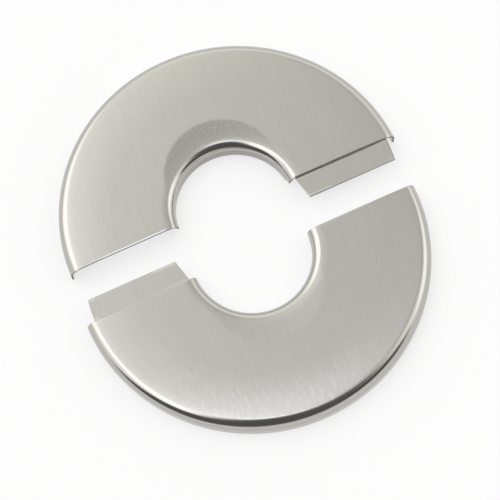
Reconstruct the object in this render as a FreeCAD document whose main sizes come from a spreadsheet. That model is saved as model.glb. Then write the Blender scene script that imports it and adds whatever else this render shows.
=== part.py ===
# Split collar that covers the hole where a heating pipe enters a floor or wall.
# Two identical pressed sheet halves lie apart, ready to be slid together around the pipe.
# Frame: millimetres, +Z away from the floor, +Y the way the front half closes, rims on Z = 0.

import FreeCAD, Part
import Sketcher
import enum
import math
import os

# Driving dimensions in millimetres
SIZES = {
    "rim_diameter": 85.0,
    "bore_diameter": 28.5,
    "overall_height": 5.2,
    "sheet_thickness": 0.5,
    "rim_bend_radius": 2.6,
    "bore_bend_radius": 2.3,
    "dish_width": 7.75,
    "dish_drop": 0.25,
    "lip_lift": 0.5,
    "lip_end_trim": 1.2,
    "step_reach": 0.3,
    "butt_gap": 0.2,
    "slide_clearance": 0.2,
    "edge_clearance": 0.3,
    "fold_inside_radius": 0.2,
    "fold_outside_radius": 0.3,
    "tongue_length": 5.7,
    "tongue_taper": 1.3,
    "tongue_rim_gap": 1.7,
    "opening_distance": 13.1,
    "sideways_shift": 1.3,
}

# Lengths worked out from the driving dimensions, written as expressions of the sheet
RIM_RADIUS = "sizes.rim_diameter / 2"
BORE_RADIUS = "sizes.bore_diameter / 2"
DISH_RADIUS = BORE_RADIUS + " + sizes.dish_width"
BORE_BEND_DEPTH = "(sizes.dish_drop + sizes.bore_bend_radius)"
LIP_TOP = "(sizes.overall_height - %s)" % BORE_BEND_DEPTH
CUT_SETBACK = "(sizes.step_reach + sizes.butt_gap)"
TONGUE_DROP = "(sizes.sheet_thickness + sizes.dish_drop + sizes.slide_clearance)"
TONGUE_TOP = "(sizes.overall_height - %s)" % TONGUE_DROP
TONGUE_ROOT = "(sizes.step_reach + sizes.fold_inside_radius)"
TONGUE_TIP = "(sizes.step_reach + sizes.tongue_length)"
TONGUE_RIM = "(%s - sizes.sheet_thickness - sizes.tongue_rim_gap)" % RIM_RADIUS
TONGUE_OUTER_ROOT = "sqrt(%s ^ 2 - %s ^ 2)" % (TONGUE_RIM, TONGUE_ROOT)
# The tongue starts where its top clears the hidden side of the other half's bore bend
BEND_INSIDE = "(sizes.bore_bend_radius - sizes.sheet_thickness)"
BEND_ROOM = "sqrt(2 * %s * sizes.slide_clearance - sizes.slide_clearance ^ 2)" % BEND_INSIDE
TONGUE_START = "(%s + sizes.bore_bend_radius - %s + sizes.edge_clearance)" % (BORE_RADIUS, BEND_ROOM)
# The fold's top is sunk into the plate's underside by a tenth of the sheet
FOLD_TOP = "(sizes.overall_height - 0.9 * sizes.sheet_thickness)"


class Point(enum.IntEnum):
    """Points of an edge, as the sketch constraints number them."""
    START = 1
    END = 2
    CENTRE = 3


class Axis(enum.IntEnum):
    """Axes of a sketch, as its constraints number them."""
    X = -1
    Y = -2


START, END, CENTRE = Point
ORIGIN = (Axis.X, START)

# Degrees of a turn that the shell spans before the split trims both its ends
SHELL_TURN = 200

# An edge counts as lying on a plane within this distance
ON_PLANE = 0.0001


def make_sheet(doc):
    """Spreadsheet with one aliased cell for each driving dimension."""
    sheet = doc.addObject("Spreadsheet::Sheet", "sizes")
    for row, (alias, value) in enumerate(SIZES.items(), start=1):
        sheet.set("A%d" % row, alias)
        sheet.set("B%d" % row, str(value))
        sheet.setAlias("B%d" % row, alias)
    doc.recompute()


def measure(owner, expression):
    """Present value of an expression of the sheet."""
    return float(owner.evalExpression(expression))


def add_sketch(body, name, role, offset=None):
    """Sketch on one of the body's origin planes, moved along its normal by the offset."""
    plane = next(item for item in body.Origin.OriginFeatures if item.Role == role)
    sketch = body.newObject("Sketcher::SketchObject", "%s_%s" % (body.Name, name))
    sketch.AttachmentSupport = [(plane, "")]
    sketch.MapMode = "FlatFace"
    if offset:
        sketch.setExpression("AttachmentOffset.Base.z", offset)
    return sketch


def add_line(sketch, first, last):
    """Straight edge between two points of the sketch."""
    segment = Part.LineSegment(FreeCAD.Vector(*first), FreeCAD.Vector(*last))
    return sketch.addGeometry(segment)


def add_arc(sketch, centre, radius, first, last):
    """Round edge, anticlockwise between two angles in degrees."""
    circle = Part.Circle(FreeCAD.Vector(*centre), FreeCAD.Vector(0, 0, 1), radius)
    return sketch.addGeometry(Part.ArcOfCircle(circle, math.radians(first), math.radians(last)))


def constrain(sketch, kind, *references):
    """Constraint that has no size of its own."""
    sketch.addConstraint(Sketcher.Constraint(kind, *references))


def drive(sketch, name, kind, references, expression):
    """Constraint whose size follows the sheet."""
    value = measure(sketch, expression)
    index = sketch.addConstraint(Sketcher.Constraint(kind, *references, value))
    sketch.renameConstraint(index, name)
    sketch.setExpression("Constraints." + name, expression)


def add_outline(sketch, points):
    """Closed outline of straight edges through the points; level and upright edges are kept so."""
    edges = []
    for index, point in enumerate(points):
        following = points[(index + 1) % len(points)]
        edges.append(add_line(sketch, point, following))
        if point[1] == following[1]:
            constrain(sketch, "Horizontal", edges[-1])
        elif point[0] == following[0]:
            constrain(sketch, "Vertical", edges[-1])
    for index, edge in enumerate(edges):
        constrain(sketch, "Coincident", edges[index - 1], END, edge, START)
    return edges


def draw_section(body):
    """Section of the pressed sheet: skirt, rim bend, plate, dish, bore bend and lip."""
    sketch = add_sketch(body, "section", "YZ_Plane")
    rim = measure(sketch, RIM_RADIUS)
    bore = measure(sketch, BORE_RADIUS)
    dish = measure(sketch, DISH_RADIUS)
    top = measure(sketch, "sizes.overall_height")
    sheet = measure(sketch, "sizes.sheet_thickness")
    rim_bend = measure(sketch, "sizes.rim_bend_radius")
    bore_bend = measure(sketch, "sizes.bore_bend_radius")
    drop = measure(sketch, "sizes.dish_drop")
    lip = measure(sketch, "sizes.lip_lift")

    # The dish is an arc that leaves the plate level and runs smoothly into the bore bend
    dish_reach = dish - bore - bore_bend
    between_centres = (dish_reach ** 2 + drop ** 2) / (2 * drop)
    dish_bend = between_centres + bore_bend
    dish_end = 90 + math.degrees(math.asin(dish_reach / between_centres))
    rim_centre = (rim - rim_bend, top - rim_bend)
    bore_centre = (bore + bore_bend, top - drop - bore_bend)
    dish_centre = (dish, top - dish_bend)

    skirt = add_line(sketch, (rim, 0), (rim, rim_centre[1]))
    rim_round = add_arc(sketch, rim_centre, rim_bend, 0, 90)
    plate = add_line(sketch, (rim_centre[0], top), (dish, top))
    dish_round = add_arc(sketch, dish_centre, dish_bend, 90, dish_end)
    bore_round = add_arc(sketch, bore_centre, bore_bend, dish_end, 180)
    lip_face = add_line(sketch, (bore, bore_centre[1]), (bore, lip))
    lip_edge = add_line(sketch, (bore, lip), (bore + sheet, lip))
    lip_back = add_line(sketch, (bore + sheet, lip), (bore + sheet, bore_centre[1]))
    bore_back = add_arc(sketch, bore_centre, bore_bend - sheet, dish_end, 180)
    dish_back = add_arc(sketch, dish_centre, dish_bend - sheet, 90, dish_end)
    plate_back = add_line(sketch, (dish, top - sheet), (rim_centre[0], top - sheet))
    rim_back = add_arc(sketch, rim_centre, rim_bend - sheet, 0, 90)
    skirt_back = add_line(sketch, (rim - sheet, rim_centre[1]), (rim - sheet, 0))
    skirt_edge = add_line(sketch, (rim - sheet, 0), (rim, 0))

    smooth_joins = (
        (skirt, END, rim_round, START),
        (rim_round, END, plate, START),
        (plate, END, dish_round, START),
        (dish_round, END, bore_round, START),
        (bore_round, END, lip_face, START),
        (lip_back, END, bore_back, END),
        (bore_back, START, dish_back, END),
        (dish_back, START, plate_back, START),
        (plate_back, END, rim_back, END),
        (rim_back, START, skirt_back, START),
    )
    corners = (
        (lip_face, END, lip_edge, START),
        (lip_edge, END, lip_back, START),
        (skirt_back, END, skirt_edge, START),
        (skirt_edge, END, skirt, START),
    )
    for join in smooth_joins:
        constrain(sketch, "Tangent", *join)
    for join in corners:
        constrain(sketch, "Coincident", *join)
    for edge in (skirt, lip_face, lip_back, skirt_back):
        constrain(sketch, "Vertical", edge)
    for edge in (plate, lip_edge, plate_back, skirt_edge):
        constrain(sketch, "Horizontal", edge)
    for front, back in ((rim_round, rim_back), (dish_round, dish_back), (bore_round, bore_back)):
        constrain(sketch, "Coincident", front, CENTRE, back, CENTRE)

    constrain(sketch, "PointOnObject", skirt, START, Axis.X)
    drive(sketch, "rim", "DistanceX", (*ORIGIN, skirt, START), RIM_RADIUS)
    drive(sketch, "height", "DistanceY", (*ORIGIN, plate, START), "sizes.overall_height")
    drive(sketch, "thickness", "DistanceX", (skirt_edge, START, skirt_edge, END), "sizes.sheet_thickness")
    drive(sketch, "rim_bend", "Radius", (rim_round,), "sizes.rim_bend_radius")
    drive(sketch, "bore_bend", "Radius", (bore_round,), "sizes.bore_bend_radius")
    drive(sketch, "dish", "DistanceX", (*ORIGIN, plate, END), DISH_RADIUS)
    drive(sketch, "dish_depth", "DistanceY", (bore_round, CENTRE, plate, END), BORE_BEND_DEPTH)
    drive(sketch, "lip", "DistanceY", (*ORIGIN, lip_face, END), "sizes.lip_lift")
    drive(sketch, "bore", "DistanceX", (*ORIGIN, lip_face, END), BORE_RADIUS)
    return sketch


def draw_split(body):
    """Everything in front of the cut edge, on the left, and of the step line, on the right."""
    sketch = add_sketch(body, "split", "XY_Plane")
    cut = measure(sketch, CUT_SETBACK)
    step = measure(sketch, "sizes.step_reach")
    beyond = measure(sketch, "sizes.rim_diameter")
    points = ((-beyond, cut), (0, cut), (0, -step), (beyond, -step), (beyond, -beyond), (-beyond, -beyond))
    cut_line, middle, step_line, right, front, left = add_outline(sketch, points)
    constrain(sketch, "PointOnObject", middle, START, Axis.Y)
    drive(sketch, "cut", "DistanceY", (*ORIGIN, middle, START), CUT_SETBACK)
    drive(sketch, "step", "DistanceY", (middle, END, *ORIGIN), "sizes.step_reach")
    drive(sketch, "right", "DistanceX", (*ORIGIN, right, START), "sizes.rim_diameter")
    drive(sketch, "left", "DistanceX", (left, END, *ORIGIN), "sizes.rim_diameter")
    drive(sketch, "front", "DistanceY", (front, START, *ORIGIN), "sizes.rim_diameter")
    return sketch


def draw_lip_trim(body):
    """Sloping trim of the lip's two ends, seen along the split line."""
    sketch = add_sketch(body, "lip_trim", "YZ_Plane")
    cut = measure(sketch, CUT_SETBACK)
    lip_top = measure(sketch, LIP_TOP)
    lip = measure(sketch, "sizes.lip_lift")
    trim = cut + measure(sketch, "sizes.lip_end_trim")
    beyond = measure(sketch, BORE_RADIUS)
    points = ((-beyond, lip_top), (cut, lip_top), (trim, lip), (trim, 0), (-beyond, 0))
    level, slope, upright, base, left = add_outline(sketch, points)
    constrain(sketch, "PointOnObject", base, START, Axis.X)
    drive(sketch, "lip_top", "DistanceY", (*ORIGIN, slope, START), LIP_TOP)
    drive(sketch, "cut", "DistanceX", (*ORIGIN, slope, START), CUT_SETBACK)
    drive(sketch, "trim", "DistanceX", (slope, START, slope, END), "sizes.lip_end_trim")
    drive(sketch, "lip", "DistanceY", (*ORIGIN, slope, END), "sizes.lip_lift")
    drive(sketch, "beyond", "DistanceX", (left, START, *ORIGIN), BORE_RADIUS)
    return sketch


def draw_fold(body):
    """Section of the fold that steps the sheet down from the plate to the tongue."""
    sketch = add_sketch(body, "fold", "YZ_Plane", TONGUE_START)
    step = measure(sketch, "sizes.step_reach")
    sheet = measure(sketch, "sizes.sheet_thickness")
    inside = measure(sketch, "sizes.fold_inside_radius")
    fold_top = measure(sketch, FOLD_TOP)
    tongue_top = measure(sketch, TONGUE_TOP)
    centre = (-step - inside, tongue_top + inside)

    riser = add_line(sketch, (-step, fold_top), (-step, centre[1]))
    root_round = add_arc(sketch, centre, inside, -90, 0)
    root_end = add_line(sketch, (centre[0], tongue_top), (centre[0], tongue_top - sheet))
    root_back = add_arc(sketch, centre, inside + sheet, -90, 0)
    riser_back = add_line(sketch, (sheet - step, centre[1]), (sheet - step, fold_top))
    top_edge = add_line(sketch, (sheet - step, fold_top), (-step, fold_top))

    constrain(sketch, "Tangent", riser, END, root_round, END)
    constrain(sketch, "Coincident", root_round, START, root_end, START)
    constrain(sketch, "Coincident", root_end, END, root_back, START)
    constrain(sketch, "Tangent", root_back, END, riser_back, START)
    constrain(sketch, "Coincident", riser_back, END, top_edge, START)
    constrain(sketch, "Coincident", top_edge, END, riser, START)
    for edge in (riser, root_end, riser_back):
        constrain(sketch, "Vertical", edge)
    constrain(sketch, "Horizontal", top_edge)
    constrain(sketch, "Coincident", root_round, CENTRE, root_back, CENTRE)
    constrain(sketch, "PointOnObject", root_round, CENTRE, root_end)
    drive(sketch, "step", "DistanceX", (riser, START, *ORIGIN), "sizes.step_reach")
    drive(sketch, "tongue_top", "DistanceY", (*ORIGIN, root_end, START), TONGUE_TOP)
    drive(sketch, "inside", "Radius", (root_round,), "sizes.fold_inside_radius")
    drive(sketch, "thickness", "DistanceX", (top_edge, END, top_edge, START), "sizes.sheet_thickness")
    drive(sketch, "fold_top", "DistanceY", (*ORIGIN, riser, START), FOLD_TOP)
    return sketch


def draw_tongue(body):
    """Plan of the tongue: tapered beside the bore, square at the tip, round along the rim."""
    sketch = add_sketch(body, "tongue", "XY_Plane", TONGUE_TOP + " - sizes.sheet_thickness")
    start = measure(sketch, TONGUE_START)
    taper_end = start + measure(sketch, "sizes.tongue_taper")
    root = measure(sketch, TONGUE_ROOT)
    tip = measure(sketch, TONGUE_TIP)
    rim = measure(sketch, TONGUE_RIM)
    root_angle = -math.degrees(math.asin(root / rim))
    tip_angle = -math.degrees(math.asin(tip / rim))

    taper = add_line(sketch, (start, -root), (taper_end, -tip))
    tip_edge = add_line(sketch, (taper_end, -tip), (math.sqrt(rim ** 2 - tip ** 2), -tip))
    rim_edge = add_arc(sketch, (0, 0), rim, tip_angle, root_angle)
    root_edge = add_line(sketch, (math.sqrt(rim ** 2 - root ** 2), -root), (start, -root))

    constrain(sketch, "Coincident", taper, END, tip_edge, START)
    constrain(sketch, "Coincident", tip_edge, END, rim_edge, START)
    constrain(sketch, "Coincident", rim_edge, END, root_edge, START)
    constrain(sketch, "Coincident", root_edge, END, taper, START)
    constrain(sketch, "Horizontal", tip_edge)
    constrain(sketch, "Horizontal", root_edge)
    constrain(sketch, "Coincident", rim_edge, CENTRE, *ORIGIN)
    drive(sketch, "rim", "Radius", (rim_edge,), TONGUE_RIM)
    drive(sketch, "root", "DistanceY", (taper, START, *ORIGIN), TONGUE_ROOT)
    drive(sketch, "tip", "DistanceY", (taper, END, *ORIGIN), TONGUE_TIP)
    drive(sketch, "start", "DistanceX", (*ORIGIN, taper, START), TONGUE_START)
    drive(sketch, "taper", "DistanceX", (taper, START, taper, END), "sizes.tongue_taper")
    return sketch


def add_feature(body, kind, name, sketch):
    """Feature made from a sketch of the same body."""
    feature = body.newObject("PartDesign::" + kind, "%s_%s" % (body.Name, name))
    feature.Profile = sketch
    return feature


def require_smaller(feature, earlier):
    """Stop if a cut has missed the solid."""
    feature.Document.recompute()
    if feature.Shape.Volume >= earlier.Shape.Volume:
        raise RuntimeError("%s cuts nothing" % feature.Name)


def step_edges(feature, step, top):
    """Names of the straight edges where the plate's top turns down to the tongue."""
    names = []
    for index, edge in enumerate(feature.Shape.Edges, start=1):
        box = edge.BoundBox
        on_step = abs(box.YMin + step) < ON_PLANE and abs(box.YMax + step) < ON_PLANE
        on_top = abs(box.ZMin - top) < ON_PLANE
        if on_step and on_top:
            names.append("Edge%d" % index)
    return names


def make_half(doc, name):
    """One pressed half, with its bore axis on Z and its tongue in front, on the right."""
    body = doc.addObject("PartDesign::Body", name)
    body.Label = name

    section = draw_section(body)
    shell = add_feature(body, "Revolution", "shell", section)
    shell.ReferenceAxis = (section, ["V_Axis"])
    shell.Midplane = True
    shell.Angle = SHELL_TURN
    doc.recompute()

    split = add_feature(body, "Pocket", "split_cut", draw_split(body))
    split.Type = "ThroughAll"
    split.Reversed = True
    require_smaller(split, shell)

    lip_trim = add_feature(body, "Pocket", "lip_trim_cut", draw_lip_trim(body))
    lip_trim.SideType = "Symmetric"
    lip_trim.setExpression("Length", "sizes.bore_diameter + 4 * sizes.sheet_thickness")
    require_smaller(lip_trim, split)

    fold = add_feature(body, "Pad", "fold_pad", draw_fold(body))
    fold.setExpression("Length", "%s - %s" % (TONGUE_OUTER_ROOT, TONGUE_START))
    doc.recompute()

    tongue = add_feature(body, "Pad", "tongue_pad", draw_tongue(body))
    tongue.setExpression("Length", "sizes.sheet_thickness")
    doc.recompute()

    step = measure(body, "sizes.step_reach")
    top = measure(body, "sizes.overall_height")
    rounding = body.newObject("PartDesign::Fillet", name + "_step_round")
    rounding.Base = (tongue, step_edges(tongue, step, top))
    rounding.setExpression("Radius", "sizes.fold_outside_radius")
    body.Tip = rounding
    doc.recompute()
    return body


def place_half(body, turn, side):
    """Set a half on its side of the origin, turned so that its tongue points at the other."""
    axis = FreeCAD.Vector(0, 0, 1)
    body.Placement = FreeCAD.Placement(FreeCAD.Vector(), FreeCAD.Rotation(axis, turn))
    body.setExpression("Placement.Base.x", "%d * sizes.sideways_shift / 2" % side)
    body.setExpression("Placement.Base.y", "%d * sizes.opening_distance / 2" % side)


def check(doc, bodies):
    """Stop if any object failed or any half isn't one valid solid."""
    for item in doc.Objects:
        if "Invalid" in item.State or "Error" in item.State:
            raise RuntimeError("%s failed: %s" % (item.Name, item.State))
    for body in bodies:
        shape = body.Shape
        if shape.isNull() or not shape.isValid() or len(shape.Solids) != 1:
            raise RuntimeError("%s isn't one valid solid" % body.Label)


def main():
    doc = FreeCAD.newDocument("pipe_collar")
    make_sheet(doc)
    rear_half = make_half(doc, "rear_half")
    front_half = make_half(doc, "front_half")
    place_half(rear_half, 0, 1)
    place_half(front_half, 180, -1)
    doc.recompute()

    bodies = (rear_half, front_half)
    check(doc, bodies)
    os.makedirs("parts", exist_ok=True)
    for body in bodies:
        body.Shape.exportStep("parts/%s.step" % body.Label)
        print("%s: %.2f cubic millimetres" % (body.Label, body.Shape.Volume))


main()
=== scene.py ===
import math

import bmesh
import bpy
from mathutils import Matrix, Quaternion, Vector


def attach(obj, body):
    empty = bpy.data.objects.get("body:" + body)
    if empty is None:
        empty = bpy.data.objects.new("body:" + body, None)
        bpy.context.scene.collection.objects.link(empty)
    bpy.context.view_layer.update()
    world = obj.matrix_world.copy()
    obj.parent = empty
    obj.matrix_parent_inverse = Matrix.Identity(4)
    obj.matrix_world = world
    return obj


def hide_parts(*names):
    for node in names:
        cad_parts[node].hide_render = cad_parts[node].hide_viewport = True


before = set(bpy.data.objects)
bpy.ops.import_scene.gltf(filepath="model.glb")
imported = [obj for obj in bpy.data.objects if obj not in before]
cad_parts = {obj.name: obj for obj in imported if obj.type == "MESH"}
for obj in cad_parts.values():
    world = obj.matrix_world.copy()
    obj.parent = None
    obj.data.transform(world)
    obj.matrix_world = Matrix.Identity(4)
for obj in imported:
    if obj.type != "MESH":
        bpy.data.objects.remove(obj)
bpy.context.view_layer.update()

# Sizes of one half in millimetres, the same as in the part's source
RIM_RADIUS = 42.5
BORE_RADIUS = 14.25
HEIGHT = 5.2
SHEET = 0.5
RIM_BEND = 2.6
BORE_BEND = 2.3
LIP_LIFT = 0.5
LIP_END_TRIM = 1.2
STEP_REACH = 0.3
CUT_SETBACK = 0.5
FOLD_OUTSIDE = 0.3
FOLD_INSIDE = 0.2
TONGUE_TOP = 4.25
TONGUE_START = 16.025
TONGUE_RIM = 40.3
TONGUE_LENGTH = 5.7
TONGUE_TAPER = 1.3
OPENING = 13.1
SIDEWAYS = 1.3
METRES = 0.001

# The dish that leads into the bore bend. It is narrower and shallower than in the part's source,
# because the crescent carries the bore bend down in the middle
DISH_RADIUS = 17.85
DISH_DROP = 0.06

# The plate is crowned from this radius to the shoulder, with this radius of curvature
CROWN_START = 29.5
CROWN_BEND = 213.0

# From this radius a shoulder leads into the rim bend, which it meets at this slope
SHOULDER_START = 38.5
SHOULDER_TURN = math.radians(4.2)

# Crescent pressed into the plate over the bore: the centre and the radius of its round edge,
# the crescent's slope, and the width over which the slope sets in
CRESCENT_CENTRE = Vector((0.6, 8.3))
CRESCENT_RADIUS = 14.4
CRESCENT_SLOPE = math.radians(2.6)
CRESCENT_EDGE = 0.8

# The plate droops towards its sheared end: over this width, by this much, in so many rows
DROOP_WIDTH = 0.6
DROOP = 0.06
DROOP_ROWS = 4

# The rounding that a cutting die leaves along a sheared edge
EDGE_ROUND = 0.06

# The section is swept between these angles, and the two ends then run straight to the split
SWEEP_START = math.radians(0.75)
SWEEP_END = math.radians(175)
SWEEP_STEPS = 235

# Steps along each stretch of the section, from the skirt to the lip
SKIRT_STEPS = 3
BEND_STEPS = 16
BEND_END_STEPS = 2
SHOULDER_STEPS = 4
CROWN_STEPS = 8
PLATE_STEPS = 5
CRESCENT_STEPS = 14
DISH_STEPS = 4
LIP_STEPS = 4

# Rows of faces along the tongue, and steps round the fold and the sheared edges
TONGUE_ROWS = 6
FOLD_OUTSIDE_STEPS = 6
FOLD_INSIDE_STEPS = 4
EDGE_STEPS = 2

# Points count as lying on a line or a plane within this distance in millimetres
NEAR = 0.002

# Points nearer to each other than this are merged
DOUBLE = 0.04

# A face is level when its normal points this far up or down
LEVEL = 0.99

# Faces that meet at more than this angle make a sharp edge
SHARP_ANGLE = math.radians(40)

# The blank's coordinates in millimetres, and the shares of wear and of painted dark reflection that the
# sheet's points carry
GRAIN_MAP = "grain"
BURNISH_MAP = "burnish"
PAINTED_DARK_REFLECTION_MAP = "painted_dark_reflection"
SCRATCH_MAP = "scratches"

# Width over which the brushed plate turns into a burnished bend, and how burnished it is
# where the bend starts
BURNISH_FADE = 0.7
BURNISH_AT_BEND = 0.5

# Width over which the crescent's painted dark reflection fades out towards the bore bend
PAINTED_REFLECTION_FADE = 2.5

# Handling scratches on the crown: radii between which they set in, how far aside of the half's middle
# they lie, and distances from there between which they die out
SCRATCHED = (29.5, 34.0)
SCRATCHED_MIDDLE = 8.0
SCRATCHED_ASIDE = (13.0, 25.0)

# How strongly each half gets the painted dark reflection on its crescent, and how strongly it is scratched on
# its crown
REAR_WEAR_AND_PAINTED_REFLECTION = (0.8, 0.0)
FRONT_WEAR_AND_PAINTED_REFLECTION = (0.0, 1.0)

# Radii on the flat blank between which the painted shade sets in, from the rim bend into the skirt and from
# the bore bend into the lip
SKIRT_SHADE_FADE = (41.9, 43.7)
LIP_SHADE_FADE = (14.0, 12.9)

# Colours of the steel. Where there are two, a pattern of the finish runs between them
PLATE_COLOURS = (0.507, 0.494, 0.463, 1), (0.527, 0.513, 0.481, 1)
SCRATCH_COLOUR = (0.575, 0.565, 0.547, 1)
NICK_COLOUR = (0.66, 0.645, 0.61, 1)
# Painted shade: the skirt darkened for the shaded floor it mirrors, and the lip inside the bore darker still
SKIRT_PAINTED_SHADE = (0.43, 0.42, 0.394, 1)
LIP_PAINTED_SHADE = (0.33, 0.322, 0.302, 1)
# Painted dark reflection on the crescent
PAINTED_DARK_REFLECTION_COLOUR = (0.37, 0.36, 0.337, 1)
# The sheared edge: torn grains, and painted dark for the shade under the cut
TORN_AND_SHADED_COLOURS = (0.11, 0.107, 0.103, 1), (0.27, 0.263, 0.252, 1)
MILL_COLOURS = (0.54, 0.535, 0.52, 1), (0.64, 0.635, 0.62, 1)

# Roughness of the steel, likewise
BRUSHED_ROUGHNESS = (0.228, 0.246)
SCRATCH_ROUGHNESS = 0.195
BURNISHED_ROUGHNESS = (0.10, 0.14)
TORN_ROUGHNESS = (0.38, 0.55)
MILL_ROUGHNESS = (0.36, 0.46)

# How much the brushing stretches reflections, and its depth in metres with the share of it that shows
BRUSHED_STRETCH = 0.7
BRUSHED_DEPTH = 0.000006
BRUSHED_RELIEF = 0.03

# Streaks in the finish: how many to a millimetre across the grain and along it, and how detailed
HAIRLINES = (3.2, 0.13, 3.0)
BRUSHING = (0.9, 0.05, 2.0)
SCRATCH_LINES = (5.5, 0.26, 1.0)
SCRATCH_GLINTS = (3.6, 0.22, 1.0)
ROLLING = (1.4, 0.12, 3.0)
CLOUDS = (0.2, 0.15, 4.0)

# How harsh all streaks are, and how much the brushing counts beside the hairlines
STREAK_HARSHNESS = 0.6
BRUSHING_SHARE = 0.6

# Spots in the finish and in the painted dark reflection: how many to a millimetre, how detailed, and how
# harsh
MOTTLE = (1.6, 3.0, 0.5)
SPECKS = (2.6, 4.0, 0.7)
NICKS = (0.9, 6.0, 0.75)

# Torn grains on a sheared edge: how many to a metre, how detailed, and how harsh
TORN_GRAINS = (6000.0, 3.0, 0.7)

# Parts of each pattern's range that count, from nothing to the whole
GRAIN_RANGE = (0.5, 1.1)
HAIRLINE_RANGE = (0.3, 0.7)
SCRATCH_LINE_RANGE = (0.55, 0.65)
SCRATCH_GLINT_RANGE = (0.56, 0.66)
MOTTLE_RANGE = (0.35, 0.65)
SPECK_RANGE = (0.38, 0.66)
NICK_RANGE = (0.71, 0.77)
TORN_COLOUR_RANGE = (0.35, 0.65)
TORN_ROUGHNESS_RANGE = (0.3, 0.7)
MILL_RANGE = (0.7, 1.3)

# The painted dark reflection's share between its specks and in them
SPECK_SHARES = (0.1, 1.0)

# Half burnished steel is burnished in patches: the mark is stretched by this much,
# and the mottle takes away as much as this
PATCH_STRETCH = 2.0
PATCH_LOSS = (-1.0, 0.0)

# Camera, fitted to the photograph: degrees, and millimetres from the part's origin
CAMERA_AZIMUTH = -17.77
CAMERA_ELEVATION = 71.28
CAMERA_ROLL = -7.05
CAMERA_DISTANCE = 381.1
CAMERA_TARGET = Vector((-0.53, -5.02, 2.6))
CAMERA_LENS = 115.2
CAMERA_SENSOR = 36.0

# Nearest distance in metres that the camera sees
CAMERA_NEAREST = 0.01

# Floor: reach in metres, colour, and how much of it shows plain white instead of shaded
FLOOR_REACH = 2.0
FLOOR_COLOUR = (0.97, 0.97, 0.97, 1)
FLOOR_PLAINNESS = 0.7
PLAIN_WHITE = (1, 1, 1, 1)

# Light tent: light overhead and at the floor, and the height where one has turned into the other,
# with 1 for overhead
TENT_LIGHT = (1.24, 1.23, 1.18, 1)
HORIZON_LIGHT = (0.83, 0.82, 0.79, 1)
TENT_TOP = 0.5

# Panels of the tent, a later one in front of an earlier one: degrees round from +X, degrees down
# from overhead, roll, half width and half length as tangents, softness of the edge, and light
PANELS = {
    "left_softbox": (141.4, 34, -32, 0.62, 0.36, 0.41, (1.98, 1.98, 2.04, 1)),
    "right_softbox": (-2, 50, 17, 0.235, 0.3, 0.35, (1.75, 1.75, 1.8, 1)),
    "left_front": (198, 30, 0, 0.24, 0.2, 0.4, (2.0, 2.0, 2.06, 1)),
    "dark_front": (-114, 54, 16, 0.44, 2.2, 0.32, (0.13, 0.13, 0.127, 1)),
    "camera_opening": (-96, 23.6, 46, 0.33, 0.406, 0.31, (0.13, 0.13, 0.125, 1)),
    "grey_back": (41, 23, -5.7, 0.395, 0.3, 0.65, (0.727, 0.72, 0.69, 1)),
    "overhead_strip": (75, 6, 2.6, 0.068, 0.072, 0.39, (1.93, 2.02, 2.2, 1)),
}

# A direction that points away from a panel counts as lying this far ahead, so that it passes beside the panel
LEAST_AHEAD = 0.01

# Places of the sheet's edge and back among its materials, after its face
SHEET_EDGE = 1
SHEET_BACK = 2


def leaning(turn):
    """Direction in the section that leans from upright towards the rim."""
    return Vector((math.sin(turn), 0, math.cos(turn)))


# Centres and radii of the section's bends, which follow from the sizes
CROWN_TURN = math.asin((SHOULDER_START - CROWN_START) / CROWN_BEND)
CROWN_CENTRE = Vector((CROWN_START, 0, HEIGHT - CROWN_BEND))
SHOULDER_REACH = RIM_RADIUS - RIM_BEND - SHOULDER_START + RIM_BEND * math.sin(SHOULDER_TURN)
SHOULDER_BEND = SHOULDER_REACH / (math.sin(SHOULDER_TURN) - math.sin(CROWN_TURN))
SHOULDER_CENTRE = CROWN_CENTRE + (CROWN_BEND - SHOULDER_BEND) * leaning(CROWN_TURN)
RIM_CENTRE = SHOULDER_CENTRE + (SHOULDER_BEND - RIM_BEND) * leaning(SHOULDER_TURN)
BORE_CENTRE = Vector((BORE_RADIUS + BORE_BEND, 0, HEIGHT - DISH_DROP - BORE_BEND))
DISH_REACH = DISH_RADIUS - BORE_RADIUS - BORE_BEND
DISH_BEND = (DISH_REACH ** 2 + DISH_DROP ** 2) / (2 * DISH_DROP) + BORE_BEND
DISH_CENTRE = Vector((DISH_RADIUS, 0, HEIGHT - DISH_BEND))
DISH_TURN = math.asin(DISH_REACH / (DISH_BEND - BORE_BEND))


def share_between(value, first, last):
    """How far a value has come from the first to the last, held at both."""
    return min(max((value - first) / (last - first), 0), 1)


def turn_point(bm, point, centre, angle, steps):
    """Carry a point of the section round a bend and return the bend's far end."""
    bent = bmesh.ops.spin(
        bm, geom=[point], cent=centre, axis=(0, 1, 0), angle=angle, steps=steps,
        use_merge=False, use_duplicate=False)
    return next(item for item in bent["geom_last"] if isinstance(item, bmesh.types.BMVert))


def run_point(bm, point, x, z, steps):
    """Carry a point of the section along a straight run and return the run's far end."""
    move = (Vector((x, 0, z)) - point.co) / steps
    for _ in range(steps):
        grown = bmesh.ops.extrude_vert_indiv(bm, verts=[point])
        point = grown["verts"][0]
        bmesh.ops.translate(bm, verts=[point], vec=move)
    return point


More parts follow.
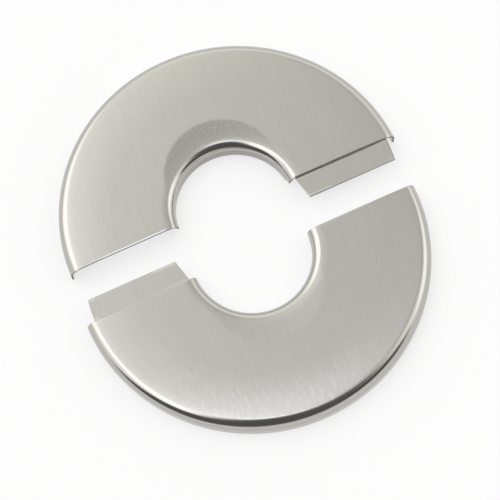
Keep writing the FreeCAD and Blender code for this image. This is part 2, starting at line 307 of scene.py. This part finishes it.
def draw_section(bm):
    """Outer face of the sheet: skirt, rim bend, shoulder, crown, plate, dish, bore bend and lip.

    The two bends are divided where the tongue's sides run, and the plate where the crescent ends.
    """
    quarter = math.pi / 2
    tongue_rim_turn = math.acos((TONGUE_RIM - RIM_CENTRE.x) / RIM_BEND)
    tongue_start_turn = math.asin((BORE_CENTRE.x - math.hypot(TONGUE_START, STEP_REACH)) / BORE_BEND)
    point = bm.verts.new((RIM_RADIUS, 0, 0))
    point = run_point(bm, point, RIM_RADIUS, RIM_CENTRE.z, SKIRT_STEPS)
    point = turn_point(bm, point, RIM_CENTRE, -tongue_rim_turn, BEND_STEPS)
    point = turn_point(bm, point, RIM_CENTRE, tongue_rim_turn - quarter + SHOULDER_TURN, BEND_END_STEPS)
    point = turn_point(bm, point, SHOULDER_CENTRE, CROWN_TURN - SHOULDER_TURN, SHOULDER_STEPS)
    point = turn_point(bm, point, CROWN_CENTRE, -CROWN_TURN, CROWN_STEPS)
    point = run_point(bm, point, CRESCENT_CENTRE.y + CRESCENT_RADIUS, HEIGHT, PLATE_STEPS)
    point = run_point(bm, point, DISH_RADIUS, HEIGHT, CRESCENT_STEPS)
    point = turn_point(bm, point, DISH_CENTRE, -DISH_TURN, DISH_STEPS)
    point = turn_point(bm, point, BORE_CENTRE, DISH_TURN - tongue_start_turn, BEND_END_STEPS)
    point = turn_point(bm, point, BORE_CENTRE, tongue_start_turn - quarter, BEND_STEPS)
    run_point(bm, point, BORE_RADIUS, LIP_LIFT, LIP_STEPS)


def grow(bm, edges):
    """Extrude a row of edges and return the new row's points and edges."""
    grown = bmesh.ops.extrude_edge_only(bm, edges=edges)["geom"]
    verts = [item for item in grown if isinstance(item, bmesh.types.BMVert)]
    row = [item for item in grown if isinstance(item, bmesh.types.BMEdge)
           and all(vert in verts for vert in item.verts)]
    return verts, row


def run_end(bm, edges, side, reach):
    """Run an end of the swept sheet straight to a line along X, and return its new points and edges."""
    verts, row = grow(bm, edges)
    for vert in verts:
        across = math.sqrt(vert.co.xy.length_squared - reach ** 2)
        vert.co.xy = side * across, reach
    return verts, row


def droop_end(bm, edges):
    """Run the cut end to the split, with an even droop in its last rows, less on the walls."""
    _, row = run_end(bm, edges, side=-1, reach=CUT_SETBACK + DROOP_WIDTH)
    for index in range(1, DROOP_ROWS + 1):
        remaining = DROOP_WIDTH * (1 - index / DROOP_ROWS)
        verts, row = run_end(bm, row, side=-1, reach=CUT_SETBACK + remaining)
        for vert in verts:
            vert.co.z -= DROOP / DROOP_ROWS * (vert.co.z / HEIGHT) ** 2


def sweep_section(bm):
    """Turn the section round the bore's axis and run both ends straight to the split."""
    bmesh.ops.rotate(bm, verts=bm.verts, cent=(0, 0, 0), matrix=Matrix.Rotation(SWEEP_START, 3, "Z"))
    step_end = bm.edges[:]
    swept = bmesh.ops.spin(
        bm, geom=bm.verts[:] + step_end, cent=(0, 0, 0), axis=(0, 0, 1), angle=SWEEP_END - SWEEP_START,
        steps=SWEEP_STEPS, use_merge=False, use_duplicate=False)
    cut_end = [item for item in swept["geom_last"] if isinstance(item, bmesh.types.BMEdge)]
    run_end(bm, step_end, side=1, reach=-STEP_REACH)
    droop_end(bm, cut_end)


def slope_lip(bm):
    """Trim the lip's ends to a slope."""
    lip = [face for face in bm.faces if face.calc_center_median().z < BORE_CENTRE.z
           and face.calc_center_median().xy.length < BORE_CENTRE.x]
    chosen = set(lip)
    edges = [edge for edge in bm.edges if not chosen.isdisjoint(edge.link_faces)]
    verts = [vert for vert in bm.verts if not chosen.isdisjoint(vert.link_faces)
             and vert.co.z < BORE_CENTRE.z - NEAR]
    bmesh.ops.bisect_plane(
        bm, geom=verts + edges + lip, dist=NEAR, plane_co=(0, CUT_SETBACK, BORE_CENTRE.z),
        plane_no=(0, LIP_LIFT - BORE_CENTRE.z, -LIP_END_TRIM), use_snap_center=False,
        clear_outer=True, clear_inner=False)


def inside_crescent(place):
    """How far a place lies inside the crescent's round edge, less than nothing if outside."""
    return CRESCENT_RADIUS - (place - CRESCENT_CENTRE).length


def press_crescent(bm):
    """Press the crescent into the plate over the bore, with the bore bend but without the lip's foot."""
    for vert in bm.verts:
        place = vert.co.xy
        if place.length < BORE_CENTRE.x:
            place = place.normalized() * BORE_CENTRE.x
        inside = max(inside_crescent(place), 0)
        set_in = min(inside, CRESCENT_EDGE)
        depth = math.tan(CRESCENT_SLOPE) * (set_in ** 2 / (2 * CRESCENT_EDGE) + inside - set_in)
        vert.co.z -= depth * share_between(vert.co.z, LIP_LIFT, BORE_CENTRE.z)


def on_step_line(vert):
    """Whether a point lies on the line where the tongue is folded down."""
    return abs(vert.co.y + STEP_REACH) < NEAR and vert.co.x > 0


def fold_tongue(bm):
    """Fold the step line down and draw the tongue out to its tip, tapered, with its outer side round."""
    row = [edge for edge in bm.edges if edge.is_boundary and all(map(on_step_line, edge.verts))
           and all(TONGUE_START - NEAR < vert.co.x < TONGUE_RIM + NEAR for vert in edge.verts)]
    verts, row = grow(bm, row)
    for vert in verts:
        vert.co.z = TONGUE_TOP
    for index in range(1, TONGUE_ROWS + 1):
        done = index / TONGUE_ROWS
        before = min(vert.co.x for vert in verts), max(vert.co.x for vert in verts)
        reach = STEP_REACH + TONGUE_LENGTH * done
        after = TONGUE_START + TONGUE_TAPER * done, math.sqrt(TONGUE_RIM ** 2 - reach ** 2)
        verts, row = grow(bm, row)
        stretch = (after[1] - after[0]) / (before[1] - before[0])
        anchor = Matrix.Translation((-before[0], 0, 0))
        bmesh.ops.scale(bm, verts=verts, vec=(stretch, 1, 1), space=anchor)
        bmesh.ops.translate(bm, verts=verts, vec=(after[0] - before[0], -TONGUE_LENGTH / TONGUE_ROWS, 0))


def face_up(bm):
    """Point every face of the sheet away from the floor."""
    bmesh.ops.remove_doubles(bm, verts=bm.verts, dist=DOUBLE)
    bmesh.ops.recalc_face_normals(bm, faces=bm.faces)
    plate = max(bm.faces, key=lambda face: face.calc_area() if abs(face.normal.z) > LEVEL else 0)
    if plate.normal.z < 0:
        bmesh.ops.reverse_faces(bm, faces=bm.faces)


def blank_place(place, folded):
    """Where a point of the pressed half lay on the flat blank, before the bends were drawn."""
    if folded:
        return Vector((place.x, place.y - (HEIGHT - place.z)))
    radius = place.xy.length
    if radius > RIM_CENTRE.x:
        turn = math.atan2(radius - RIM_CENTRE.x, max(place.z - RIM_CENTRE.z, 0))
        flat = RIM_CENTRE.x + RIM_BEND * turn + max(RIM_CENTRE.z - place.z, 0)
    elif radius < BORE_CENTRE.x:
        turn = math.atan2(BORE_CENTRE.x - radius, max(place.z - BORE_CENTRE.z, 0))
        flat = BORE_CENTRE.x - BORE_BEND * turn - max(BORE_CENTRE.z - place.z, 0)
    else:
        flat = radius
    return place.xy * (flat / radius)


def map_grain(bm):
    """Lay the flat blank's coordinates, in millimetres, over the pressed faces."""
    grain = bm.loops.layers.uv.new(GRAIN_MAP)
    for face in bm.faces:
        centre = face.calc_center_median()
        folded = centre.x > 0 and centre.y < NEAR - STEP_REACH
        for loop in face.loops:
            loop[grain].uv = blank_place(loop.vert.co, folded)


def thicken(bm):
    """Give the sheet its thickness, downwards from the outer face, and tell its sides apart."""
    outer = set(bm.faces)
    rim = [edge for edge in bm.edges if edge.is_boundary]
    bmesh.ops.solidify(bm, geom=bm.faces[:], thickness=SHEET)
    for face in bm.faces:
        if face not in outer:
            face.material_index = SHEET_BACK
    for edge in rim:
        for face in edge.link_faces:
            if face not in outer:
                face.material_index = SHEET_EDGE


def round_off(bm, edges, radius, segments):
    """Round edges with a radius."""
    bmesh.ops.bevel(
        bm, geom=edges, offset=radius, offset_type="OFFSET", segments=segments, profile=0.5,
        affect="EDGES", material=-1)


def fold_edges(bm, y, lowest, highest):
    """Edges of the fold that lie along the step line at a given reach, between two heights."""
    def fits(vert):
        return (abs(vert.co.y - y) < NEAR and lowest < vert.co.z < highest
                and TONGUE_START - NEAR < vert.co.x < TONGUE_RIM + NEAR)

    return [edge for edge in bm.edges if all(map(fits, edge.verts))
            and edge.calc_face_angle(0) > SHARP_ANGLE]


def round_fold(bm):
    """Round the fold's outside and inside on the sheet's face, and its outside on the sheet's back."""
    face_top = fold_edges(bm, -STEP_REACH, TONGUE_TOP + SHEET, HEIGHT + NEAR)
    round_off(bm, face_top, FOLD_OUTSIDE, FOLD_OUTSIDE_STEPS)
    face_foot = fold_edges(bm, -STEP_REACH, TONGUE_TOP - NEAR, TONGUE_TOP + NEAR)
    round_off(bm, face_foot, FOLD_INSIDE, FOLD_INSIDE_STEPS)
    back_foot = fold_edges(bm, SHEET - STEP_REACH, TONGUE_TOP - SHEET - NEAR, TONGUE_TOP - SHEET + NEAR)
    round_off(bm, back_foot, FOLD_INSIDE + SHEET, FOLD_OUTSIDE_STEPS)


def round_sheared_edges(bm):
    """Round the sheared edges a little, as the cutting die does, and clear away the slivers this leaves."""
    sharp = [edge for edge in bm.edges if edge.calc_face_angle(0) > SHARP_ANGLE
             and any(face.material_index == SHEET_EDGE for face in edge.link_faces)]
    round_off(bm, sharp, EDGE_ROUND, EDGE_STEPS)
    bmesh.ops.dissolve_degenerate(bm, dist=NEAR, edges=bm.edges)


def mark_wear_and_painted_reflection(bm, reflection_darkened, scratched):
    """Mark where tools rubbed the grain bright, where the crescent is smoothed and gets a painted dark
    reflection, and where the crown is scratched.
    """
    burnish = bm.verts.layers.float.new(BURNISH_MAP)
    painted_dark_reflection = bm.verts.layers.float.new(PAINTED_DARK_REFLECTION_MAP)
    scratches = bm.verts.layers.float.new(SCRATCH_MAP)
    for vert in bm.verts:
        radius = vert.co.xy.length
        beyond = max(radius - RIM_CENTRE.x, BORE_CENTRE.x - radius) / BURNISH_FADE + BURNISH_AT_BEND
        if vert.co.x < 0:
            # The drooping end is burnished from its first row on
            beyond = max(beyond, (CUT_SETBACK + DROOP_WIDTH - vert.co.y) / DROOP_WIDTH * DROOP_ROWS)
        # On the crescent the steel is smoother, and its colour carries a painted dark reflection
        crescent_smooth_and_dark = reflection_darkened * share_between(inside_crescent(vert.co.xy), 0, CRESCENT_EDGE)
        aside = share_between(abs(vert.co.x - SCRATCHED_MIDDLE), *SCRATCHED_ASIDE)
        vert[burnish] = max(min(beyond, 1), crescent_smooth_and_dark, 0)
        vert[painted_dark_reflection] = crescent_smooth_and_dark * share_between(radius, BORE_CENTRE.x, BORE_CENTRE.x + PAINTED_REFLECTION_FADE)
        vert[scratches] = scratched * share_between(radius, *SCRATCHED) * (1 - aside)


def press_half():
    """One pressed half in millimetres, with its bore axis on Z and its tongue in front, on the right."""
    bm = bmesh.new()
    draw_section(bm)
    sweep_section(bm)
    press_crescent(bm)
    slope_lip(bm)
    fold_tongue(bm)
    face_up(bm)
    map_grain(bm)
    thicken(bm)
    round_fold(bm)
    round_sheared_edges(bm)
    return bm


def place_half(pressed, name, turn, side, wear_and_reflection, materials):
    """Set a pressed half in its place, with its wear and painted dark reflection, and with its sheet's face,
    edge and back finished.
    """
    bm = pressed.copy()
    mark_wear_and_painted_reflection(bm, *wear_and_reflection)
    place = Matrix.Translation((side * SIDEWAYS / 2, side * OPENING / 2, 0))
    bm.transform(Matrix.Scale(METRES, 4) @ place @ Matrix.Rotation(turn, 4, "Z"))
    mesh = bpy.data.meshes.new(name)
    bm.to_mesh(mesh)
    bm.free()
    mesh.shade_smooth()
    mesh.set_sharp_from_angle(angle=SHARP_ANGLE)
    for material in materials:
        mesh.materials.append(material)
    half = bpy.data.objects.new(name, mesh)
    bpy.context.scene.collection.objects.link(half)
    even = half.modifiers.new("even_normals", "WEIGHTED_NORMAL")
    even.keep_sharp = True
    return half


def new_material(name):
    """Material with nothing in its node tree, and that tree."""
    material = bpy.data.materials.new(name)
    material.use_nodes = True
    tree = material.node_tree
    tree.nodes.clear()
    return material, tree


def add_node(tree, kind, settings=None, **sockets):
    """Node with its settings, and its sockets either set or linked from another node's output.

    A socket is given by its name, with _ for a space, or by _ and its number.
    """
    node = tree.nodes.new("ShaderNode" + kind)
    for name, value in (settings or {}).items():
        setattr(node, name, value)
    for name, value in sockets.items():
        socket = node.inputs[int(name[1:])] if name[1:].isdigit() else node.inputs[name.replace("_", " ")]
        if isinstance(value, bpy.types.NodeSocket):
            tree.links.new(value, socket)
        else:
            socket.default_value = value
    return node


def remap(tree, value, first, last, low=0.0, high=1.0):
    """Value stretched from one range to another and held at its ends."""
    node = add_node(tree, "MapRange", {"clamp": True}, Value=value, From_Min=first, From_Max=last,
                    To_Min=low, To_Max=high)
    return node.outputs["Result"]


def work_out(tree, operation, *values):
    """Result of an operation on values."""
    sockets = {"_%d" % index: value for index, value in enumerate(values)}
    return add_node(tree, "Math", {"operation": operation}, **sockets).outputs[0]


def mix_values(tree, share, first, second):
    """Value that turns from the first into the second as the share grows."""
    node = add_node(tree, "Mix", {"data_type": "FLOAT"}, _0=share, _2=first, _3=second)
    return node.outputs[0]


def mix_colours(tree, share, first, second):
    """Colour that turns from the first into the second as the share grows."""
    node = add_node(tree, "MixRGB", Fac=share, Color1=first, Color2=second)
    return node.outputs["Color"]


def blank(tree):
    """Coordinates of the flat blank."""
    return add_node(tree, "UVMap", {"uv_map": GRAIN_MAP}).outputs["UV"]


def marked(tree, name):
    """Share of a kind of wear that the sheet's points carry."""
    return add_node(tree, "Attribute", {"attribute_name": name}).outputs["Fac"]


def spots(tree, place, scale, detail, harshness):
    """Noise in spots on the blank: so many to a millimetre."""
    noise = add_node(tree, "TexNoise", {"noise_dimensions": "2D"}, Vector=place, Scale=scale,
                     Detail=detail, Roughness=harshness)
    return noise.outputs["Fac"]


def streaks(tree, place, across, along, detail):
    """Noise drawn out along the grain: so many streaks to a millimetre across and along it."""
    drawn = add_node(tree, "Mapping", Vector=place, Scale=(across, along, 1))
    return spots(tree, drawn.outputs["Vector"], scale=1.0, detail=detail, harshness=STREAK_HARSHNESS)


def worn_lines(tree, place, lines, counted):
    """Handling scratches: streaks where the crown is marked as scratched."""
    drawn = remap(tree, streaks(tree, place, *lines), *counted)
    return work_out(tree, "MULTIPLY", marked(tree, SCRATCH_MAP), drawn)


def face_colour(tree, place, grain):
    """Colour of the brushed face: scratches and nicks light, painted shade on the skirt and lip, and a
    painted dark reflection on the crescent.
    """
    radius = add_node(tree, "VectorMath", {"operation": "LENGTH"}, _0=place).outputs["Value"]
    # Painted dark reflection on the crescent, in specks
    specks = remap(tree, spots(tree, place, *SPECKS), *SPECK_RANGE, *SPECK_SHARES)
    reflection_darkened = work_out(tree, "MULTIPLY", marked(tree, PAINTED_DARK_REFLECTION_MAP), specks)
    nicked = remap(tree, spots(tree, place, *NICKS), *NICK_RANGE)
    scratched = worn_lines(tree, place, SCRATCH_LINES, SCRATCH_LINE_RANGE)
    colour = mix_colours(tree, remap(tree, grain, *GRAIN_RANGE), *PLATE_COLOURS)
    colour = mix_colours(tree, scratched, colour, SCRATCH_COLOUR)
    # Painted shade: the skirt darkened, and the lip inside the bore darker still
    colour = mix_colours(tree, remap(tree, radius, *SKIRT_SHADE_FADE), colour, SKIRT_PAINTED_SHADE)
    colour = mix_colours(tree, remap(tree, radius, *LIP_SHADE_FADE), colour, LIP_PAINTED_SHADE)
    colour = mix_colours(tree, reflection_darkened, colour, PAINTED_DARK_REFLECTION_COLOUR)
    return mix_colours(tree, nicked, colour, NICK_COLOUR)


def face_roughness(tree, place, hairlines, grain):
    """Roughness of the brushed face: smoother in the scratches, and smoothest where tools rubbed it."""
    mottle = remap(tree, spots(tree, place, *MOTTLE), *MOTTLE_RANGE, *PATCH_LOSS)
    patchy = add_node(tree, "Math", {"operation": "MULTIPLY_ADD", "use_clamp": True},
                      _0=marked(tree, BURNISH_MAP), _1=PATCH_STRETCH, _2=mottle).outputs[0]
    scratched = worn_lines(tree, place, SCRATCH_GLINTS, SCRATCH_GLINT_RANGE)
    even = remap(tree, grain, *GRAIN_RANGE, *BRUSHED_ROUGHNESS)
    brushed = mix_values(tree, scratched, even, SCRATCH_ROUGHNESS)
    burnished = remap(tree, hairlines, *HAIRLINE_RANGE, *BURNISHED_ROUGHNESS)
    return mix_values(tree, patchy, brushed, burnished)


def brushed_face():
    """Brushed stainless sheet, with hairlines along the blank, rubbed bends, painted shade on the walls,
    wear, and a painted dark reflection on the crescent.
    """
    material, tree = new_material("brushed_sheet_face")
    place = blank(tree)
    hairlines = streaks(tree, place, *HAIRLINES)
    brushing = streaks(tree, place, *BRUSHING)
    grain = work_out(tree, "MULTIPLY_ADD", brushing, BRUSHING_SHARE, hairlines)
    bump = add_node(tree, "Bump", Strength=BRUSHED_RELIEF, Distance=BRUSHED_DEPTH, Height=grain)
    tangent = add_node(tree, "Tangent", {"direction_type": "UV_MAP", "uv_map": GRAIN_MAP})
    steel = add_node(tree, "BsdfPrincipled", Base_Color=face_colour(tree, place, grain), Metallic=1.0,
                     Roughness=face_roughness(tree, place, hairlines, grain), Anisotropic=BRUSHED_STRETCH,
                     Normal=bump.outputs["Normal"], Tangent=tangent.outputs["Tangent"])
    add_node(tree, "OutputMaterial", Surface=steel.outputs["BSDF"])
    return material


def sheared_edge():
    """Edge left by the cutting die, torn, and painted dark for the shade under the cut."""
    material, tree = new_material("sheared_edge")
    place = add_node(tree, "TexCoord").outputs["Object"]
    scale, detail, harshness = TORN_GRAINS
    grains = add_node(tree, "TexNoise", Vector=place, Scale=scale, Detail=detail, Roughness=harshness)
    torn = grains.outputs["Fac"]
    colour = mix_colours(tree, remap(tree, torn, *TORN_COLOUR_RANGE), *TORN_AND_SHADED_COLOURS)
    steel = add_node(tree, "BsdfPrincipled", Base_Color=colour, Metallic=1.0,
                     Roughness=remap(tree, torn, *TORN_ROUGHNESS_RANGE, *TORN_ROUGHNESS))
    add_node(tree, "OutputMaterial", Surface=steel.outputs["BSDF"])
    return material


def mill_back():
    """Hidden side of the sheet, left dull as the rolling mill made it."""
    material, tree = new_material("mill_back")
    place = blank(tree)
    tone = work_out(tree, "ADD", streaks(tree, place, *ROLLING), streaks(tree, place, *CLOUDS))
    colour = mix_colours(tree, remap(tree, tone, *MILL_RANGE), *MILL_COLOURS)
    steel = add_node(tree, "BsdfPrincipled", Base_Color=colour, Metallic=1.0,
                     Roughness=remap(tree, tone, *MILL_RANGE, *MILL_ROUGHNESS))
    add_node(tree, "OutputMaterial", Surface=steel.outputs["BSDF"])
    return material


def make_camera():
    """Camera at the photograph's place."""
    azimuth = math.radians(CAMERA_AZIMUTH)
    elevation = math.radians(CAMERA_ELEVATION)
    back = Vector((math.sin(azimuth) * math.cos(elevation),
                   -math.cos(azimuth) * math.cos(elevation), math.sin(elevation)))
    data = bpy.data.cameras.new("camera")
    data.lens = CAMERA_LENS
    data.sensor_width = CAMERA_SENSOR
    data.clip_start = CAMERA_NEAREST
    camera = bpy.data.objects.new("camera", data)
    camera.location = (CAMERA_TARGET + back * CAMERA_DISTANCE) * METRES
    camera.rotation_mode = "QUATERNION"
    level = (-back).to_track_quat("-Z", "Y")
    camera.rotation_quaternion = level @ Quaternion((0, 0, 1), math.radians(CAMERA_ROLL))
    bpy.context.scene.collection.objects.link(camera)
    bpy.context.scene.camera = camera


def pale_floor():
    """White floor, mostly plain to the camera and in the metal, that keeps a soft shadow of the object."""
    material, tree = new_material("pale_floor")
    rays = add_node(tree, "LightPath").outputs
    mirrored = work_out(tree, "ADD", rays["Is Glossy Ray"], rays["Is Transmission Ray"])
    seen = work_out(tree, "ADD", rays["Is Camera Ray"], mirrored)
    matt = add_node(tree, "BsdfDiffuse", Color=FLOOR_COLOUR)
    glow = add_node(tree, "Emission", Color=PLAIN_WHITE, Strength=1.0)
    plain = add_node(tree, "MixShader", Fac=FLOOR_PLAINNESS, _1=matt.outputs[0], _2=glow.outputs[0])
    shown = add_node(tree, "MixShader", Fac=seen, _1=matt.outputs[0], _2=plain.outputs[0])
    add_node(tree, "OutputMaterial", Surface=shown.outputs[0])
    return material


def make_floor():
    """Plain pale floor."""
    bm = bmesh.new()
    bmesh.ops.create_grid(bm, x_segments=1, y_segments=1, size=FLOOR_REACH)
    mesh = bpy.data.meshes.new("floor")
    bm.to_mesh(mesh)
    bm.free()
    mesh.materials.append(pale_floor())
    floor = bpy.data.objects.new("floor", mesh)
    bpy.context.scene.collection.objects.link(floor)


def soft_share(tree, value, near, far):
    """One at the near value, falling smoothly to nothing at the far one."""
    node = add_node(tree, "MapRange", {"interpolation_type": "SMOOTHSTEP"}, Value=value,
                    From_Min=near, From_Max=far, To_Min=1.0, To_Max=0.0)
    return node.outputs["Result"]


def panel_share(tree, direction, azimuth, slant, roll, width, length, softness):
    """How much of a soft-edged oblong panel lies in a direction; its sizes are tangents of half angles."""
    facing = (Matrix.Rotation(math.radians(azimuth), 3, "Z") @ Matrix.Rotation(math.radians(slant), 3, "Y")
              @ Matrix.Rotation(math.radians(roll), 3, "Z"))
    turned = add_node(tree, "Mapping", {"vector_type": "TEXTURE"}, Vector=direction,
                      Rotation=facing.to_euler(), Scale=(width, length, 1)).outputs["Vector"]
    ahead = add_node(tree, "SeparateXYZ", Vector=turned).outputs["Z"]
    depth = work_out(tree, "MAXIMUM", ahead, LEAST_AHEAD)
    spread = add_node(tree, "VectorMath", {"operation": "DIVIDE"}, _0=turned, _1=depth).outputs["Vector"]
    reach = add_node(tree, "VectorMath", {"operation": "ABSOLUTE"}, _0=spread).outputs["Vector"]
    sides = add_node(tree, "SeparateXYZ", Vector=reach).outputs
    farther = work_out(tree, "MAXIMUM", sides["X"], sides["Y"])
    return soft_share(tree, farther, 1 - softness, 1 + softness)


def make_world():
    """Light tent: pale walls, soft panels, and the dark opening on the camera's side."""
    world = bpy.data.worlds.new("light_tent")
    world.use_nodes = True
    tree = world.node_tree
    tree.nodes.clear()
    direction = add_node(tree, "TexCoord").outputs["Generated"]
    height = add_node(tree, "SeparateXYZ", Vector=direction).outputs["Z"]
    light = mix_colours(tree, soft_share(tree, height, 0.0, TENT_TOP), TENT_LIGHT, HORIZON_LIGHT)
    for *shape, panel_light in PANELS.values():
        light = mix_colours(tree, panel_share(tree, direction, *shape), light, panel_light)
    background = add_node(tree, "Background", Color=light, Strength=1.0)
    add_node(tree, "OutputWorld", Surface=background.outputs[0])
    bpy.context.scene.world = world


bpy.context.scene.view_settings.view_transform = "Standard"
sheet_finish = (brushed_face(), sheared_edge(), mill_back())
pressed = press_half()
rear_half = place_half(
    pressed, "rear_half_sheet", turn=0, side=1, wear_and_reflection=REAR_WEAR_AND_PAINTED_REFLECTION, materials=sheet_finish)
front_half = place_half(
    pressed, "front_half_sheet", turn=math.pi, side=-1, wear_and_reflection=FRONT_WEAR_AND_PAINTED_REFLECTION, materials=sheet_finish)
pressed.free()
for half, node in ((rear_half, "rear_half"), (front_half, "front_half")):
    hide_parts(node)
    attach(half, node)
make_camera()
make_floor()
make_world()
